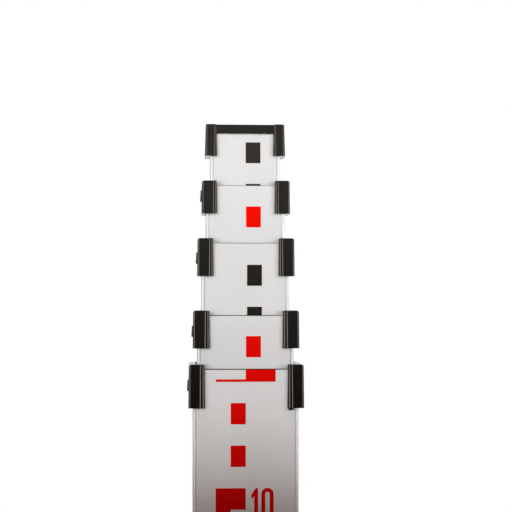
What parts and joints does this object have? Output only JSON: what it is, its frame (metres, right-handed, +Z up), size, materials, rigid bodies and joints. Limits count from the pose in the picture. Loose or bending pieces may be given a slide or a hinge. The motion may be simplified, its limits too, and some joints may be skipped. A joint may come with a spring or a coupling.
{
  "type": "leveling staff",
  "caption": "Telescopic aluminium levelling staff with a printed E-pattern scale, nested sliding sections, black collars with push-button locks and a steel-soled foot.",
  "frame": {"origin": "middle of the foot's underside, where the printed scale starts", "axes": "+Z up along the staff, the printed face looks towards -Y, the push buttons are on -X"},
  "size_m": [0.0586, 0.0359, 1.2232],
  "materials": {
    "anodised_aluminium": "satin anodised",
    "black_plastic": "fine moulded, slightly glossy",
    "button_plastic": "moulded",
    "grey_plastic": "moulded",
    "zinc_steel": "zinc plated",
    "spring_steel": "blued",
    "black_ink": "screen printed",
    "red_ink": "screen printed"
  },
  "bodies": {
    "section_1": {"base_shoe": "black_plastic", "base_plate": "zinc_steel", "base_plate_screws": "zinc_steel", "shoe_screws": "zinc_steel", "scale_1_black": "black_ink", "scale_1_red": "red_ink", "section_1_tube": "anodised_aluminium", "collar_1": "black_plastic", "collar_1_screws": "zinc_steel", "button_spring_1": "spring_steel"},
    "section_2": {"section_2_tube": "anodised_aluminium", "collar_2": "black_plastic", "collar_2_screws": "zinc_steel", "button_spring_2": "spring_steel", "floor_plug_2": "grey_plastic", "slide_bush_2": "grey_plastic", "leaf_spring_2": "spring_steel", "lock_pin_2": "zinc_steel", "spring_rivets_2": "anodised_aluminium", "scale_2_red": "red_ink"},
    "section_3": {"section_3_tube": "anodised_aluminium", "collar_3": "black_plastic", "collar_3_screws": "zinc_steel", "button_spring_3": "spring_steel", "floor_plug_3": "grey_plastic", "slide_bush_3": "grey_plastic", "leaf_spring_3": "spring_steel", "lock_pin_3": "zinc_steel", "spring_rivets_3": "anodised_aluminium", "scale_3_black": "black_ink"},
    "section_4": {"section_4_tube": "anodised_aluminium", "collar_4": "black_plastic", "collar_4_screws": "zinc_steel", "button_spring_4": "spring_steel", "floor_plug_4": "grey_plastic", "slide_bush_4": "grey_plastic", "leaf_spring_4": "spring_steel", "lock_pin_4": "zinc_steel", "spring_rivets_4": "anodised_aluminium", "scale_4_red": "red_ink"},
    "section_5": {"section_5_tube": "anodised_aluminium", "floor_plug_5": "grey_plastic", "slide_bush_5": "grey_plastic", "leaf_spring_5": "spring_steel", "lock_pin_5": "zinc_steel", "spring_rivets_5": "anodised_aluminium", "scale_5_black": "black_ink", "top_cap": "black_plastic", "top_cap_screws": "zinc_steel"},
    "button_1": {"lock_button_1": "button_plastic"},
    "button_2": {"lock_button_2": "button_plastic"},
    "button_3": {"lock_button_3": "button_plastic"},
    "button_4": {"lock_button_4": "button_plastic"}
  },
  "joints": [
    {"name": "section_2_slide", "type": "slide", "parent": "section_1", "child": "section_2", "axis": [0, 0, 1], "range_m": [0, 0.8685]},
    {"name": "section_3_slide", "type": "slide", "parent": "section_2", "child": "section_3", "axis": [0, 0, 1], "range_m": [0, 0.9661]},
    {"name": "section_4_slide", "type": "slide", "parent": "section_3", "child": "section_4", "axis": [0, 0, 1], "range_m": [0, 0.972]},
    {"name": "section_5_slide", "type": "slide", "parent": "section_4", "child": "section_5", "axis": [0, 0, 1], "range_m": [0, 0.96898]},
    {"name": "button_1_press", "type": "slide", "parent": "section_1", "child": "button_1", "axis": [1, 0, 0], "range_m": [0, 0.0007], "stiffness_N_per_m": 900, "deforming": ["button_spring_1"]},
    {"name": "button_2_press", "type": "slide", "parent": "section_2", "child": "button_2", "axis": [1, 0, 0], "range_m": [0, 0.0007], "stiffness_N_per_m": 900, "deforming": ["button_spring_2"]},
    {"name": "button_3_press", "type": "slide", "parent": "section_3", "child": "button_3", "axis": [1, 0, 0], "range_m": [0, 0.0007], "stiffness_N_per_m": 900, "deforming": ["button_spring_3"]},
    {"name": "button_4_press", "type": "slide", "parent": "section_4", "child": "button_4", "axis": [1, 0, 0], "range_m": [0, 0.0007], "stiffness_N_per_m": 900, "deforming": ["button_spring_4"]}
  ]
}
